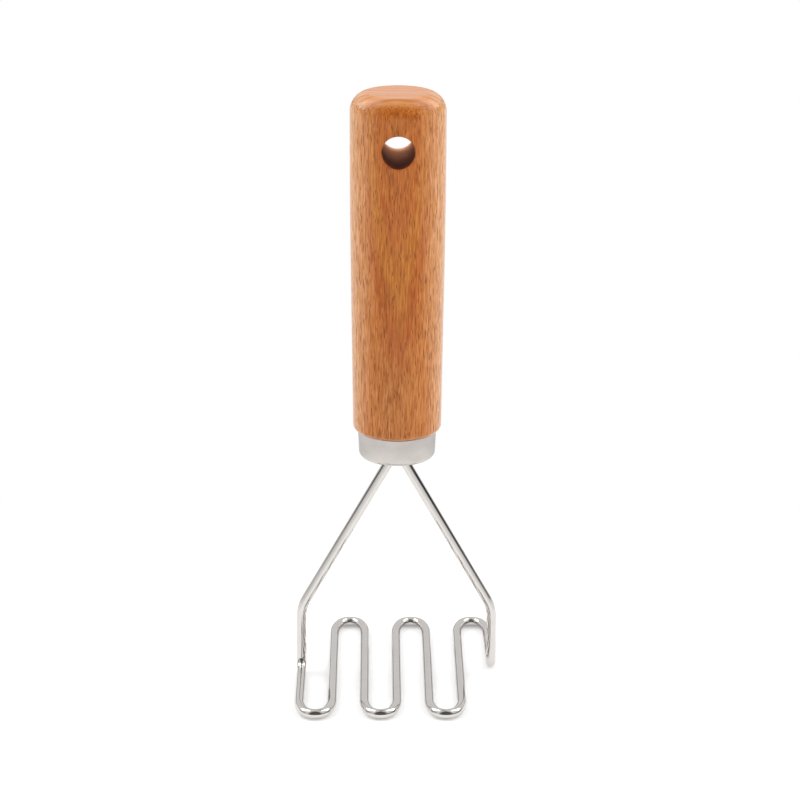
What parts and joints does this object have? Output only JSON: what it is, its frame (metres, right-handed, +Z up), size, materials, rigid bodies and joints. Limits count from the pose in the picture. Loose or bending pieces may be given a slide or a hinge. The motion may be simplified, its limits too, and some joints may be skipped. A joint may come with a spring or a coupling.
{
  "type": "potato masher",
  "caption": "Wire potato masher: turned wooden handle with a hanging hole, steel ferrule, and one bent wire forming two arms and a flat serpentine mashing head.",
  "frame": {"origin": "centre of the mashing head on the surface that it stands on, under the handle's axis", "axes": "+Z up along the handle, -Y to the front of the picture, +X to its right; the arms lie in the XZ plane and the hanging hole runs along Y"},
  "size_m": [0.0646, 0.076, 0.191],
  "materials": {
    "beech": "lacquered",
    "ferrule_steel": "polished",
    "wire_steel": "polished",
    "resin": "cast"
  },
  "bodies": {
    "root": {"handle": "beech", "ferrule": "ferrule_steel", "mashing_wire": "wire_steel", "bonding_resin": "resin"}
  },
  "joints": []
}
